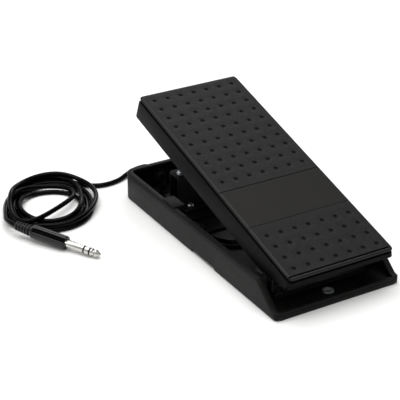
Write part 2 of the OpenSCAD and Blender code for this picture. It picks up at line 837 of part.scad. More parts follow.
base_tray();
rubber_feet();
foot_screws();
pivot_bracket();
pivot_bracket_screws();
pivot_axle();
axle_clips();
friction_washers();
heel_stop_pads();
toe_stop_bracket();
toe_bracket_screws();
toe_bumper();
bumper_screws();
pot_bracket();
pot_bracket_screws();
potentiometer();
pot_terminals();
pot_washer();
pot_nut();
inner_cable();
cable_clamp();
clamp_screws();
treadle_frame();
tread_cover();
cover_screws();
pivot_bushes();
sector_gear();
sector_screws();
pot_shaft();
pinion_gear();
cord_gland();
cord_lead();
cord_coil();
cord_tail();
plug_boot();
plug_handle();
plug_sleeve();
plug_rear_insulator();
plug_ring();
plug_front_insulator();
plug_tip();
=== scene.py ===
"""Looks for a foot volume pedal: a moulded tray, a dimpled treadle on a heel pivot, and a coiled cord."""

import json
import math

import bmesh
import bpy
import numpy as np
from mathutils import Matrix, Vector


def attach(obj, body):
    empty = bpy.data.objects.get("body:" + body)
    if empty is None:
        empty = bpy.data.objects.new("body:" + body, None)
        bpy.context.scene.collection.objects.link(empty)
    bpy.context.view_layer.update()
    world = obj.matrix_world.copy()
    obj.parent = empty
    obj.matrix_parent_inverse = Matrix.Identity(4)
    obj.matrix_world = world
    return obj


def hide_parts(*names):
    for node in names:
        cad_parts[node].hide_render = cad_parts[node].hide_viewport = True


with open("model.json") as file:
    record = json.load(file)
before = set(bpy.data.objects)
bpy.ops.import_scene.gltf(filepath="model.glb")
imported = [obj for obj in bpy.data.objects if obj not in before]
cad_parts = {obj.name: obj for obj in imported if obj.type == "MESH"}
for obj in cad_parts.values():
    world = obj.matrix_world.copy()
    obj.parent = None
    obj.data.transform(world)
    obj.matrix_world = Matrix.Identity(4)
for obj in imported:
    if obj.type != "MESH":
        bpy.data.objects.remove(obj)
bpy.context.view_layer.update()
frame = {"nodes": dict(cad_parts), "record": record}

MM = 0.001

# Measures in millimetres, as in the part
BASE_HALF = 54.5
TOE_Y = 116.4
HEEL_Y = -113.6
WALL_TOP = 23.5
HEEL_WALL_TOP = 6.5
HEEL_LIP = 1.7
RIM_W = 4.8
RIM_T = 2.4
WALL_T = 2.6
FLOOR_Z = 2.8
SOLE_Z = 0.6
SLOPE_TOP_Y = -87.2
SLOPE_END_Y = -108.3
NOTCH = (-29.1, 4.4)
NOTCH_TOP = 2.3
PIVOT = (0, -78.6, 15)
REST_TILT = 14.78
TREAD_HALF = 45.5
TREAD_HEEL = -31.9
TREAD_TOE = 195.9
TREAD_TOP = 27.5
COVER_T = 3
COVER_R = 1.4
CEILING_Z = 22.5
CORD_D = 4


# ---- small helpers ----

def eased(points, y, reach=1.6):
    """Height at y along a line of (y, z) points, with each corner rounded over reach on either side."""
    ys = [p[0] for p in points]
    zs = [p[1] for p in points]
    return sum(np.interp(y + k * reach / 3, ys, zs) for k in range(-3, 4)) / 7


def outline(half, y0, y1, toe_r, heel_r, stations, steps=7):
    """Plan outline as (x, y), anticlockwise, with the same number of points whatever its sizes.
    toe_r and heel_r are corner radii, across and along."""
    def corner(cx, cy, rx, ry, start):
        turns = [start + math.pi / 2 * k / steps for k in range(steps + 1)]
        return [(cx + rx * math.cos(a), cy + ry * math.sin(a)) for a in turns]

    across = [t / 4 for t in (1, 2, 3)]
    (tx, ty), (hx, hy) = toe_r, heel_r
    points = corner(half - hx, y0 + hy, hx, hy, -math.pi / 2)
    points += [(half, y) for y in stations]
    points += corner(half - tx, y1 - ty, tx, ty, 0)
    points += [(half - tx - t * 2 * (half - tx), y1) for t in across]
    points += corner(tx - half, y1 - ty, tx, ty, math.pi / 2)
    points += [(-half, y) for y in reversed(stations)]
    points += corner(hx - half, y0 + hy, hx, hy, math.pi)
    points += [(hx - half + t * 2 * (half - hx), y0) for t in across]
    return points


def skin(bm, rings):
    """Joins rings of points, in order, and closes the first and the last."""
    loops = [[bm.verts.new(Vector(p) * MM) for p in ring] for ring in rings]
    for a, b in zip(loops, loops[1:]):
        for i in range(len(a)):
            j = (i + 1) % len(a)
            bm.faces.new((a[i], a[j], b[j], b[i]))
    bm.faces.new(list(reversed(loops[0])))
    bm.faces.new(loops[-1])


def soften(bm, faces, radius, steps=2):
    """Rounds the sharp edges of these faces, always in the same order."""
    edges = dict.fromkeys(e for f in faces for e in f.edges)
    sharp = [e for e in edges if len(e.link_faces) == 2 and e.calc_face_angle() > math.radians(25)]
    bmesh.ops.bevel(bm, geom=sharp, offset=radius * MM, segments=steps, profile=0.5,
                    affect="EDGES", clamp_overlap=True)


def bar(bm, low, high, radius=0.5):
    """A moulded block with rounded edges."""
    made = bmesh.ops.create_cube(bm, size=1)
    for v in made["verts"]:
        v.co = Vector([(a + (t + 0.5) * (b - a)) * MM for a, b, t in zip(low, high, v.co)])
    soften(bm, dict.fromkeys(f for v in made["verts"] for f in v.link_faces), radius)


def prism(bm, points, x0, x1, radius=0.5):
    """A plate across X, with this outline in Y and Z and rounded edges."""
    left, right = ([bm.verts.new(Vector((x, y, z)) * MM) for y, z in points] for x in (x0, x1))
    faces = [bm.faces.new(left), bm.faces.new(list(reversed(right)))]
    for i in range(len(points)):
        j = (i + 1) % len(points)
        faces.append(bm.faces.new((left[j], left[i], right[i], right[j])))
    soften(bm, faces, radius)


def spin(bm, profile, steps=64, flute=None, centre=(0, 0)):
    """Turns a profile of (z, radius) round a line along Z.
    flute(z, angle) is how far the surface is cut back there."""
    rings = []
    for z, r in profile:
        turns = [2 * math.pi * k / steps for k in range(steps)]
        cut = [r - (flute(z, a) if flute else 0) for a in turns]
        rings.append([(centre[0] + c * math.cos(a), centre[1] + c * math.sin(a), z) for c, a in zip(cut, turns)])
    skin(bm, rings)


def piece(name, bm, body, slot, nodes, place=None, angle=32, materials=None):
    """Makes one object of the mesh, on its body, in place of its CAD nodes."""
    if place is not None:
        bm.transform(place)
    bmesh.ops.remove_doubles(bm, verts=bm.verts, dist=1e-7)
    bmesh.ops.recalc_face_normals(bm, faces=bm.faces)
    mesh = bpy.data.meshes.new(name)
    bm.to_mesh(mesh)
    bm.free()
    made = bpy.data.objects.new(name, mesh)
    bpy.context.scene.collection.objects.link(made)
    for face in mesh.polygons:
        face.use_smooth = True
    mesh.set_sharp_from_angle(angle=math.radians(angle))
    for m in materials or [FINISHES[slot]]:
        mesh.materials.append(m)
    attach(made, body)
    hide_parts(*nodes)
    return made


def rounded_copy(node, radius, body, slot):
    """A CAD node's own shape with its sharp edges rounded, which stands for it."""
    bm = bmesh.new()
    bm.from_mesh(frame["nodes"][node].data)
    bmesh.ops.remove_doubles(bm, verts=bm.verts, dist=1e-6)
    bmesh.ops.dissolve_limit(bm, angle_limit=math.radians(2), verts=bm.verts, edges=bm.edges)
    soften(bm, bm.faces, radius)
    return piece(f"{node}_rounded", bm, body, slot, [node])


# ---- camera ----

camera = bpy.data.objects.new("camera", bpy.data.cameras.new("camera"))
bpy.context.scene.collection.objects.link(camera)
camera.data.lens = 121.6
camera.data.sensor_width = 36
camera.location = (-0.50817, -0.78119, 0.51105)
camera.rotation_euler = (math.radians(62.81), 0, math.radians(-30.42))
bpy.context.scene.camera = camera


# ---- finishes ----

def add(tree, kind, values=(), links=(), **settings):
    """Adds a node with its settings, its input values and its links."""
    made = tree.nodes.new(kind)
    for key, value in settings.items():
        setattr(made, key, value)
    for key, value in dict(values).items():
        made.inputs[key].default_value = value
    for key, source in dict(links).items():
        tree.links.new(source, made.inputs[key])
    return made


def srgb(code):
    """An sRGB hex colour as linear RGBA."""
    parts = [int(code[i:i + 2], 16) / 255 for i in (1, 3, 5)]
    return tuple(c / 12.92 if c <= 0.04045 else ((c + 0.055) / 1.055) ** 2.4 for c in parts) + (1,)


def surface(name, dark, light, grain, relief, rough, patch=18, ior=1.5, metallic=0, sheen=0, stretch=(1, 1, 1),
            worn=None, shine=0.5):
    """One finish: grain and patch are sizes in mm, relief is the grain's height in mm, rough its range.
    shine is the strength of its reflection head on, 0.5 for a bare surface of that IOR."""
    made = bpy.data.materials.new(name)
    made.use_nodes = True
    tree = made.node_tree
    tree.nodes.clear()
    at = add(tree, "ShaderNodeTexCoord").outputs["Object"]
    scaled = add(tree, "ShaderNodeMapping", {"Scale": stretch}, {"Vector": at}).outputs["Vector"]
    fine = add(tree, "ShaderNodeTexNoise", {"Scale": 1 / (grain * MM), "Detail": 3, "Roughness": 0.6},
               {"Vector": scaled}).outputs["Fac"]
    broad = add(tree, "ShaderNodeTexNoise", {"Scale": 1 / (patch * MM), "Detail": 5, "Roughness": 0.55},
                {"Vector": at}).outputs["Fac"]
    most = add(tree, "ShaderNodeMath", {1: 0.65}, {0: fine}, operation="MULTIPLY").outputs[0]
    both = add(tree, "ShaderNodeMath", {1: 0.35}, {0: broad, 2: most}, operation="MULTIPLY_ADD").outputs[0]
    ramp = add(tree, "ShaderNodeValToRGB", {}, {"Fac": both})
    ramp.color_ramp.elements[0].position = 0.36
    ramp.color_ramp.elements[0].color = srgb(dark)
    ramp.color_ramp.elements[1].position = 0.64
    ramp.color_ramp.elements[1].color = srgb(light)
    colour = ramp.outputs["Color"]
    if worn:
        edge = add(tree, "ShaderNodeNewGeometry").outputs["Pointiness"]
        mask = add(tree, "ShaderNodeMapRange", {"From Min": 0.52, "From Max": 0.62, "To Max": 0.5},
                   {"Value": edge}).outputs["Result"]
        broken = add(tree, "ShaderNodeMath", {}, {0: mask, 1: both}, operation="MULTIPLY").outputs[0]
        mix = add(tree, "ShaderNodeMix", {"B": srgb(worn)}, {"Factor": broken, "A": colour}, data_type="RGBA")
        colour = mix.outputs["Result"]
    span = {"From Min": 0.3, "From Max": 0.75, "To Min": rough[0], "To Max": rough[1]}
    gloss = add(tree, "ShaderNodeMapRange", span, {"Value": broad}).outputs["Result"]
    bump = add(tree, "ShaderNodeBump", {"Strength": 1, "Distance": relief * MM}, {"Height": fine}).outputs["Normal"]
    shader = add(tree, "ShaderNodeBsdfPrincipled", {"Metallic": metallic, "IOR": ior, "Sheen Weight": sheen,
                 "Specular IOR Level": shine},
                 {"Base Color": colour, "Roughness": gloss, "Normal": bump})
    add(tree, "ShaderNodeOutputMaterial", {}, {"Surface": shader.outputs[0]})
    return made


FINISHES = {
    # ABS moulded in a spark-eroded tool: black and satin, with a fine even grain that breaks up its reflections
    "shell_plastic": surface("abs_moulded_black", "#080807", "#121211", 1.1, 0.2, (0.4, 0.5), 30, 1.54,
                             worn="#2a2a2a", shine=0.08),
    # Vinyl skin moulded with a soft grain, a little greyer than the shell
    "cover_plastic": surface("vinyl_moulded_grey_black", "#0a0a0a", "#1b1b1b", 1.3, 0.3, (0.42, 0.54), 26, 1.53,
                             worn="#2c2c2c", shine=0.11),
    # Natural rubber, moulded: dull black
    "rubber": surface("rubber_moulded_black", "#090909", "#0f0f0f", 0.8, 0.03, (0.65, 0.8), 12, 1.52, sheen=0.03,
                      shine=0.25),
    # Mild steel, blackened: near black with a faint oil gloss
    "black_steel": surface("steel_blacked", "#060607", "#0d0d0e", 0.6, 0.01, (0.4, 0.55), 15, shine=0.4),
    # Steel screws, zinc plated: pale with a bluish cast
    "zinc_steel": surface("steel_zinc_plated", "#a4a7ac", "#c2c5ca", 0.4, 0.006, (0.42, 0.55), 6, metallic=1),
    # Brass, turned, under nickel: bright, with very fine turning marks
    "chrome": surface("brass_turned_nickel_plated", "#bdbcb8", "#d2d1cd", 0.35, 0.003, (0.1, 0.18), 8, metallic=1),
    # Acetal, moulded natural: milky white and slightly waxy
    "nylon": surface("acetal_moulded_natural", "#cfccc2", "#e2dfd6", 0.9, 0.01, (0.35, 0.45), 14, 1.48),
    # Nylon, moulded black: duller than the shell
    "black_nylon": surface("nylon_moulded_black", "#070707", "#0c0c0c", 0.9, 0.01, (0.45, 0.55), 14, 1.53,
                           shine=0.3),
    # PVC sheath, extruded: black with a soft shine
    "cord_pvc": surface("pvc_extruded_black", "#010101", "#030303", 0.9, 0.01, (0.12, 0.18), 20, 1.53, shine=0.06),
    # PVC moulded on the plug: black and smooth
    "plug_pvc": surface("pvc_moulded_black", "#050505", "#090909", 0.6, 0.01, (0.2, 0.28), 10, 1.53, shine=0.32),
}
# The band where the arch of the foot rests: the same vinyl from a smoother part of the tool
PANEL = surface("vinyl_moulded_smooth", "#100f0d", "#171613", 1.1, 0.14, (0.42, 0.5), 40, 1.53, shine=0.12)
# Inside the pits the vinyl is darker and rougher than the skin: the darker colour is painted shade down in the pits
PIT = surface("vinyl_pits_painted_shade", "#090909", "#0e0e0e", 0.6, 0.02, (0.6, 0.7), 40, 1.53, shine=0.06)
# The grooves of the plug's grip, spark-eroded in the tool and so duller than the ridges; their darker colour is
# painted shade in the grooves
GROOVE_SHADE = surface("pvc_grooves_painted_shade", "#010101", "#020202", 0.6, 0.01, (0.6, 0.7), 10, 1.53, shine=0.04)
# The skin's rounded edges and the bead at its heel, polished by handling
EDGE = surface("vinyl_moulded_polished", "#0b0b0b", "#141414", 1.3, 0.05, (0.34, 0.42), 26, 1.53, shine=0.2)
# The treadle's skirt: the shell's ABS from a tool with a finer, duller grain, and darker than the tray's; the
# darker colour is painted shade
SKIRT_SHADED = surface("abs_moulded_black_shaded", "#040404", "#080808", 0.9, 0.16, (0.42, 0.5), 30, 1.54,
                       worn="#1d1d1d", shine=0.05)


# ---- cord ----

def steer(keys, t):
    """Value at t between (t, value) keys, eased."""
    for (t0, v0), (t1, v1) in zip(keys, keys[1:]):
        if t <= t1:
            k = (t - t0) / (t1 - t0)
            return v0 + (v1 - v0) * k * k * (3 - 2 * k)
    return keys[-1][1]


COIL_AT = (-117.5, 125.5)
COIL_TURN = math.radians(68)
COIL_STRAIGHT = 10


def lane(degrees, radius, z):
    """A point on the slightly oval coil."""
    a = math.radians(degrees) - COIL_TURN
    x = radius * math.cos(a) + COIL_STRAIGHT * math.tanh(2 * math.cos(a)) / math.tanh(2)
    y = radius * math.sin(a)
    c, s = math.cos(COIL_TURN), math.sin(COIL_TURN)
    return (COIL_AT[0] + x * c - y * s, COIL_AT[1] + x * s + y * c, z)


def even(points, step):
    """The same line with its points a step apart."""
    p = np.array(points, float)
    run = np.concatenate([[0], np.cumsum(np.linalg.norm(np.diff(p, axis=0), axis=1))])
    at = np.linspace(0, run[-1], int(round(run[-1] / step)) + 1)
    return np.stack([np.interp(at, run, p[:, k]) for k in range(3)], axis=1)


LEAD = [(-22, 124.4, 12), (-22, 131, 12), (-22.6, 138, 10), (-26, 143.6, 7), (-32, 146, 4.4), (-38.5, 144.4, 2.6),
        (-44.5, 141.4, 2), (-51, 138.4, 2), (-57.5, 136.8, 2), (-64, 136.4, 2), (-70.5, 137.4, 2.4),
        (-76.5, 139.8, 3.4)]
TAIL = [(-154.5, 129.8, 6), (-157.8, 124, 6.4), (-160.3, 117.5, 7), (-161.6, 110.5, 8), (-161.6, 103.5, 8.9),
        (-160.2, 97.5, 9.1)]
COIL_START = 9
TURNS = 6.443
COIL_STEPS = 260
# Where one strand cuts straight across, in turns
CHORD = (5.6, 5.944)
# Turns wound so far, and the radius and height of the strand there
COIL_RADIUS = [(0, 38.2), (0.16, 41), (0.38, 35.5), (0.475, 40.5), (0.53, 38.5), (0.575, 35), (0.66, 34),
               (0.91, 35.5), (1.16, 36.5), (1.41, 31), (1.66, 30), (1.91, 31.5), (2.16, 31.5), (2.41, 28),
               (2.66, 26), (2.91, 27.5), (3.16, 18), (3.41, 27), (3.66, 22.5), (3.91, 26.5), (4.16, 41),
               (4.41, 34), (4.66, 34), (4.85, 34), (4.96, 42), (5.04, 39), (5.16, 39.5), (5.3, 34),
               (5.41, 33.5), (5.6, 39), (5.944, 25.5), (6.16, 24), (6.443, 36.5)]
COIL_HEIGHT = [(0, 3.4), (0.1, 2), (3.2, 2), (3.45, 6), (4.6, 6), (4.96, 9.5), (5.2, 9.5), (5.4, 10), (5.944, 10),
               (6.16, 6.5), (6.443, 6)]
# Strands are pushed apart until their centre lines are this far from each other
STRAND_GAP = CORD_D + 0.12


def coil_line():
    """The cord's line before it settles: anticlockwise from the pedal's side, inwards, then back over itself."""
    wound = []
    for k in range(1, COIL_STEPS):
        t = TURNS * k / COIL_STEPS
        if not CHORD[0] < t < CHORD[1]:
            wound.append(lane(COIL_START + 360 * t, steer(COIL_RADIUS, t), steer(COIL_HEIGHT, t)))
    return LEAD + wound + TAIL


def settled(line, step=4.5, passes=260):
    """Rounds the line, lets the strands shoulder each other apart, then rounds it again, which lets them back
    together a little. The ends of it, at the pedal and at the plug, stay where they are."""
    p = even(line, step)
    count = len(p)
    run = np.arange(count) * step
    loose = np.clip((run - 44) / 30, 0, 1) * np.clip((run[-1] - 20 - run) / 16, 0, 1)
    loose = loose[:, None]

    def round_off(p, much):
        p[1:-1] += much * ((p[:-2] + p[2:]) / 2 - p[1:-1]) * loose[1:-1]

    for _ in range(14):
        round_off(p, 0.3)
    wanted = p.copy()
    rest = np.linalg.norm(np.diff(p, axis=0), axis=1)
    one, other = np.triu_indices(count, k=4)
    for _ in range(passes):
        p[:, 2] -= 0.012 * loose[:, 0]
        round_off(p, 0.2)
        p[:, :2] += 0.03 * (wanted - p)[:, :2] * loose
        for _ in range(3):
            for odd in (0, 1):
                m = min(len(p[odd:-1:2]), len(p[odd + 1::2]))
                a, b = p[odd:-1:2][:m], p[odd + 1::2][:m]
                v = b - a
                long = np.linalg.norm(v, axis=1, keepdims=True)
                pull = 0.5 * (long - rest[odd::2][:m, None]) * v / long
                p[odd:-1:2][:m] += pull * loose[odd:-1:2][:m]
                p[odd + 1::2][:m] -= pull * loose[odd + 1::2][:m]
            v = p[other] - p[one]
            gap = np.linalg.norm(v, axis=1)
            near = gap < STRAND_GAP
            push = (0.5 * (STRAND_GAP - gap[near]) / np.maximum(gap[near], 1e-6))[:, None] * v[near]
            move, times = np.zeros_like(p), np.zeros(count)
            for who, sign in ((one[near], -1), (other[near], 1)):
                np.add.at(move, who, sign * push)
                np.add.at(times, who, 1)
            p += move / np.maximum(times, 1)[:, None] * loose
            p[:, 2] = np.maximum(p[:, 2], CORD_D / 2)
    for _ in range(6):
        round_off(p, 0.4)
    return p


def fair(points, per=3):
    """A smooth line through the points, with per points for each of them."""
    p = np.vstack([2 * points[0] - points[1], points, 2 * points[-1] - points[-2]])
    made = []
    for a, b, c, d in zip(p, p[1:], p[2:], p[3:]):
        for k in range(per):
            t = k / per
            square, cube = 2 * a - 5 * b + 4 * c - d, 3 * b - a - 3 * c + d
            x, y, z = 0.5 * (2 * b + (c - a) * t + square * t ** 2 + cube * t ** 3)
            made.append((x, y, max(z, CORD_D / 2)))
    return made + [tuple(points[-1])]


route = fair(settled(coil_line()))
curve = bpy.data.curves.new("cord", "CURVE")
curve.dimensions = "3D"
curve.bevel_depth = CORD_D / 2 * MM
curve.bevel_resolution = 4
curve.use_fill_caps = True
spline = curve.splines.new("POLY")
spline.points.add(len(route) - 1)
for point, at in zip(spline.points, route):
    point.co = (*(Vector(at) * MM), 1)
spline.use_smooth = True
cord = bpy.data.objects.new("cord", curve)
bpy.context.scene.collection.objects.link(cord)
curve.materials.append(FINISHES["cord_pvc"])
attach(cord, "base")
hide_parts("cord_lead", "cord_coil", "cord_tail")


# ---- tray ----

BASE_TOP = [(-130, HEEL_WALL_TOP), (SLOPE_END_Y, HEEL_WALL_TOP), (SLOPE_TOP_Y, WALL_TOP), (130, WALL_TOP)]


def base_top(y):
    return eased(BASE_TOP, y)


def base_sole(y):
    return NOTCH_TOP if NOTCH[0] < y < NOTCH[1] else SOLE_Z


def tray_ring(side, heel, height, toe_radius=9, heel_radius=3.5):
    """One ring of the tray wall: how far in it lies at the sides and at the heel, and its height by y."""
    stations = [-109.4, -108.9, -108.3, -107.7, -107.2, -104, -100, -96, -92, -88.4, -87.8, -87.2, -86.6, -86,
                -60, NOTCH[0], NOTCH[0] + 0.05, NOTCH[1] - 0.05, NOTCH[1], 30, 60, 90]
    toe = max(toe_radius - side, 1)
    at_heel = (max(heel_radius - side, 0.8), max(heel_radius - heel, 0.8))
    ring = outline(BASE_HALF - side, HEEL_Y + heel, TOE_Y - side, (toe, toe), at_heel, stations)
    return [(x, y, height(y)) for x, y in ring]


def under(drop):
    return lambda y: base_top(y) - drop


def over(rise):
    return lambda y: base_sole(y) + rise


def flat(z):
    return lambda y: z


bm = bmesh.new()
skin(bm, [
    tray_ring(3.2, 3.2, flat(SOLE_Z)), tray_ring(3, 3, over(0)), tray_ring(0.6, 0.6, over(0)),
    tray_ring(0.18, 0.18, over(0.18)), tray_ring(0, 0, over(0.6)),
    tray_ring(0, 0, under(2.75)), tray_ring(0.3, 0.3, under(2.6)), tray_ring(0.3, 0.3, under(2.3)),
    tray_ring(0, 0, under(2.15)), tray_ring(0, 0, under(1)), tray_ring(0.1, 0.1, under(0.55)),
    tray_ring(0.35, 0.35, under(0.2)), tray_ring(0.8, 0.7, under(0)),
    tray_ring(RIM_W - 0.5, HEEL_LIP - 0.35, under(0)), tray_ring(RIM_W - 0.15, HEEL_LIP - 0.1, under(0.15)),
    tray_ring(RIM_W, HEEL_LIP, under(0.5)), tray_ring(RIM_W, HEEL_LIP, under(RIM_T - 0.2)),
    tray_ring(RIM_W - 0.2, HEEL_LIP, under(RIM_T)), tray_ring(WALL_T + 0.3, HEEL_LIP, under(RIM_T)),
    tray_ring(WALL_T, HEEL_LIP, under(RIM_T + 0.3)), tray_ring(WALL_T, HEEL_LIP, flat(FLOOR_Z + 0.8)),
    tray_ring(WALL_T + 0.25, HEEL_LIP + 0.25, flat(FLOOR_Z + 0.25)),
    tray_ring(WALL_T + 0.8, HEEL_LIP + 0.8, flat(FLOOR_Z)),
])
for side in (-1, 1):
    inner, outer = side * (BASE_HALF - RIM_W - 7.6), side * (BASE_HALF - 1.5)
    bar(bm, (min(inner, outer), 34.6, FLOOR_Z - 0.4), (max(inner, outer), 53.4, 24.6), 0.8)
    inner = side * (BASE_HALF - RIM_W - 7)
    bar(bm, (min(inner, outer), -84.6, FLOOR_Z - 0.4), (max(inner, outer), -74.6, 21.4), 0.6)
    bar(bm, (side * 14 - 1, -60, FLOOR_Z - 0.4), (side * 14 + 1, -20, FLOOR_Z + 1.5), 0.4)
bar(bm, (-41, PIVOT[1] - 13, FLOOR_Z - 0.4), (41, PIVOT[1] + 13, 5), 0.5)
for y in (20, 44):
    bar(bm, (-30, y - 1, FLOOR_Z - 0.4), (30, y + 1, FLOOR_Z + 1.5), 0.4)
piece("tray_moulding", bm, "base", "shell_plastic", ["base_tray"])


# ---- treadle ----

ON_TREADLE = Matrix.Translation(Vector(PIVOT) * MM) @ Matrix.Rotation(math.radians(REST_TILT), 4, "X")
# Lower edge of the skirt, along the treadle
SKIRT = [(-40, 21), (-31.9, 19.4), (-29.3, 17.7), (-25.2, 15.5), (-18.2, 12.9), (-10.9, 11.2), (-3.6, 10.2),
         (2.2, 8.9), (7, 8.1), (14, 8), (193.9, 8.2), (195.9, 9), (198, 10)]


def shell_ring(inset, height):
    stations = [-27.5, -25, -22, -19, -15, -11, -7, -4, -1, 2, 4.5, 7, 10, 14, 40, 80, 120, 160, 167, 170, 180, 189]
    toe, heel = max(2.4 - inset, 0.8), max(3 - inset, 0.8)
    ring = outline(TREAD_HALF - inset, TREAD_HEEL + inset, TREAD_TOE - inset, (toe, toe), (heel, heel), stations)
    return [(x, y, height(y)) for x, y in ring]


def hem(rise):
    return lambda y: eased(SKIRT, y, 1.2) + rise


UNDER_COVER = TREAD_TOP - COVER_T
bm = bmesh.new()
skin(bm, [
    shell_ring(4, flat(UNDER_COVER - 0.1)), shell_ring(1.3, flat(UNDER_COVER - 0.1)),
    shell_ring(1.3, flat(UNDER_COVER - 1.1)), shell_ring(0.35, flat(UNDER_COVER - 1.15)),
    shell_ring(0.08, flat(UNDER_COVER - 1.3)), shell_ring(0, flat(UNDER_COVER - 1.6)),
    shell_ring(-0.9, hem(0.7)), shell_ring(-0.75, hem(0.25)), shell_ring(-0.4, hem(0)),
    shell_ring(1.1, hem(0)), shell_ring(1.5, hem(0.2)), shell_ring(1.6, hem(0.6)),
    shell_ring(2.5, flat(CEILING_Z - 0.5)), shell_ring(3.1, flat(CEILING_Z)),
])
for y in (26, 84, 112, 180):
    bar(bm, (1 - TREAD_HALF, y, CEILING_Z - 4.5), (TREAD_HALF - 1, y + 2, CEILING_Z + 0.3), 0.4)
ear = [(7 * math.cos(a), 7 * math.sin(a)) for a in [math.pi + math.pi * k / 14 for k in range(15)]]
ear += [(16, CEILING_Z + 0.3), (-14, CEILING_Z + 0.3)]
for x in (-36, 32):
    prism(bm, ear, x, x + 4, 0.4)
# The treadle's moulding takes the darker skirt finish, which is painted shade
piece("treadle_moulding", bm, "treadle", "shell_plastic", ["treadle_frame"], ON_TREADLE, materials=[SKIRT_SHADED])

# The skin on top: stations across and along, with cuts for the seams and a tile of pits for each pad
PITCH_X = 12
COLUMNS = 7
PIT_R = 1.45
PIT_DEEP = 0.8
TILE = 6
TOE_ROWS = [78.26 + 12 * k for k in range(10)]
HEEL_ROWS = [14.1 - 12.13 * k for k in range(4)]
SEAMS = [(-29.4, 1.05, 1.2), (25.8, 0.5, 0.3), (67.6, 0.7, 0.5)]
HALF_IN = TREAD_HALF - 0.5 - COVER_R
CORNER_R = 2.8


def tread_grid():
    """Stations across as (x, lean) and along as (y, lean, cut).
    lean is the turn over the rounded edge, in degrees."""
    across = [(-HALF_IN, -90 + 15 * k) for k in range(6)]
    across += [(-HALF_IN, 0)] + [(-42 + 2 * k, 0) for k in range(43)] + [(HALF_IN, 0)]
    across += [(HALF_IN, 15 * k) for k in range(1, 7)]
    along = [(TREAD_HEEL + COVER_R, -90 + 15 * k, 0) for k in range(6)] + [(TREAD_HEEL + COVER_R, 0, 0)]
    for rows in (HEEL_ROWS[::-1], TOE_ROWS):
        half = (rows[1] - rows[0]) / 2
        for y in rows:
            low, high = y - half, min(y + half, TREAD_TOE - COVER_R)
            along += [(low + (high - low) * k / TILE, 0, 0) for k in range(TILE + 1)]
    for y, wide, deep in SEAMS:
        along += [(y - 0.08, 0, 0), (y, 0, deep * 0.25), (y + 0.1, 0, deep), (y + wide - 0.1, 0, deep),
                  (y + wide, 0, deep * 0.25), (y + wide + 0.08, 0, 0)]
    along += [(TREAD_TOE - COVER_R, 15 * k, 0) for k in range(1, 7)]
    along += [(SEAMS[0][0] - back, 0, cut) for back, cut in ((0.8, 0.03), (0.5, 0.12), (0.25, 0.32))]
    kept = []
    for a in sorted(along, key=lambda s: (round(s[0], 3), s[1])):
        if not kept or abs(a[0] - kept[-1][0]) > 0.02 or a[1] != kept[-1][1]:
            kept.append(a)
    return across, kept


def tread_point(x, x_lean, y, y_lean, cut):
    a, b = math.radians(x_lean), math.radians(y_lean)
    out = Vector((math.sin(a) * math.cos(b), math.sin(b), math.cos(a) * math.cos(b)))
    return Vector((x, y, TREAD_TOP - COVER_R)) + (COVER_R - cut) * out


def corner_in(x, y):
    """Rounds the skin's four corners in plan, by drawing each one's square onto a quarter disc."""
    at = (math.copysign(TREAD_HALF - 0.5 - CORNER_R, x), TREAD_TOE - CORNER_R if y > 0 else TREAD_HEEL + CORNER_R)
    dx, dy = abs(x) - abs(at[0]), (y - at[1]) * (1 if y > 0 else -1)
    if dx <= 0 or dy <= 0:
        return x, y
    much = max(dx, dy) / math.hypot(dx, dy)
    return at[0] + (x - at[0]) * much, at[1] + (y - at[1]) * much


across, along = tread_grid()
bm = bmesh.new()
grid = [[bm.verts.new(tread_point(*a, *b) * MM) for b in along] for a in across]
panel = [y for y, _, _ in SEAMS[1:]]
taken = set()
first = next(i for i, a in enumerate(across) if a[0] == -3.5 * PITCH_X)
for rows in (HEEL_ROWS, TOE_ROWS):
    half = abs(rows[1] - rows[0]) / 2
    for y in rows:
        j0 = min(range(len(along)), key=lambda j: (abs(along[j][0] - (y - half)), abs(along[j][1])))
        for column in range(COLUMNS):
            i0 = first + column * TILE
            centre = Vector((PITCH_X * (column - (COLUMNS - 1) / 2), y, TREAD_TOP))
            rim = [grid[i0 + k][j0] for k in range(TILE)] + [grid[i0 + TILE][j0 + k] for k in range(TILE)]
            rim += [grid[i0 + TILE - k][j0 + TILE] for k in range(TILE)]
            rim += [grid[i0][j0 + TILE - k] for k in range(TILE)]
            taken |= {(i0 + a, j0 + b) for a in range(TILE) for b in range(TILE)}
            inside = [grid[i0 + a][j0 + b] for a in range(1, TILE) for b in range(1, TILE)]
            turns = [math.atan2(v.co.y / MM - y, v.co.x / MM - centre.x) for v in rim]
            last = rim
            # The pits' walls and floors take the darker pit finish, which is painted shade
            for r, z in [(PIT_R + 0.4, 0), (PIT_R + 0.1, -0.08), (PIT_R - 0.15, -0.3), (PIT_R * 0.7, -0.62),
                         (PIT_R * 0.45, -PIT_DEEP + 0.06), (PIT_R * 0.2, -PIT_DEEP)]:
                ring = [bm.verts.new((centre + Vector((r * math.cos(t), r * math.sin(t), z))) * MM) for t in turns]
                for k in range(len(ring)):
                    n = (k + 1) % len(ring)
                    bm.faces.new((last[k], last[n], ring[n], ring[k])).material_index = 2 * (z < 0)
                last = ring
            bm.faces.new(last).material_index = 2
            for v in inside:
                bm.verts.remove(v)
for i in range(len(across) - 1):
    for j in range(len(along) - 1):
        if (i, j) in taken:
            continue
        face = bm.faces.new((grid[i][j], grid[i + 1][j], grid[i + 1][j + 1], grid[i][j + 1]))
        if panel[0] + 0.6 < (along[j][0] + along[j + 1][0]) / 2 < panel[1]:
            face.material_index = 1
        if across[i][1] or across[i + 1][1] or along[j][1] or along[j + 1][0] <= SEAMS[0][0]:
            face.material_index = 3
rim = [row[0] for row in grid] + grid[-1][1:] + [row[-1] for row in grid[-2::-1]] + grid[0][-2:0:-1]
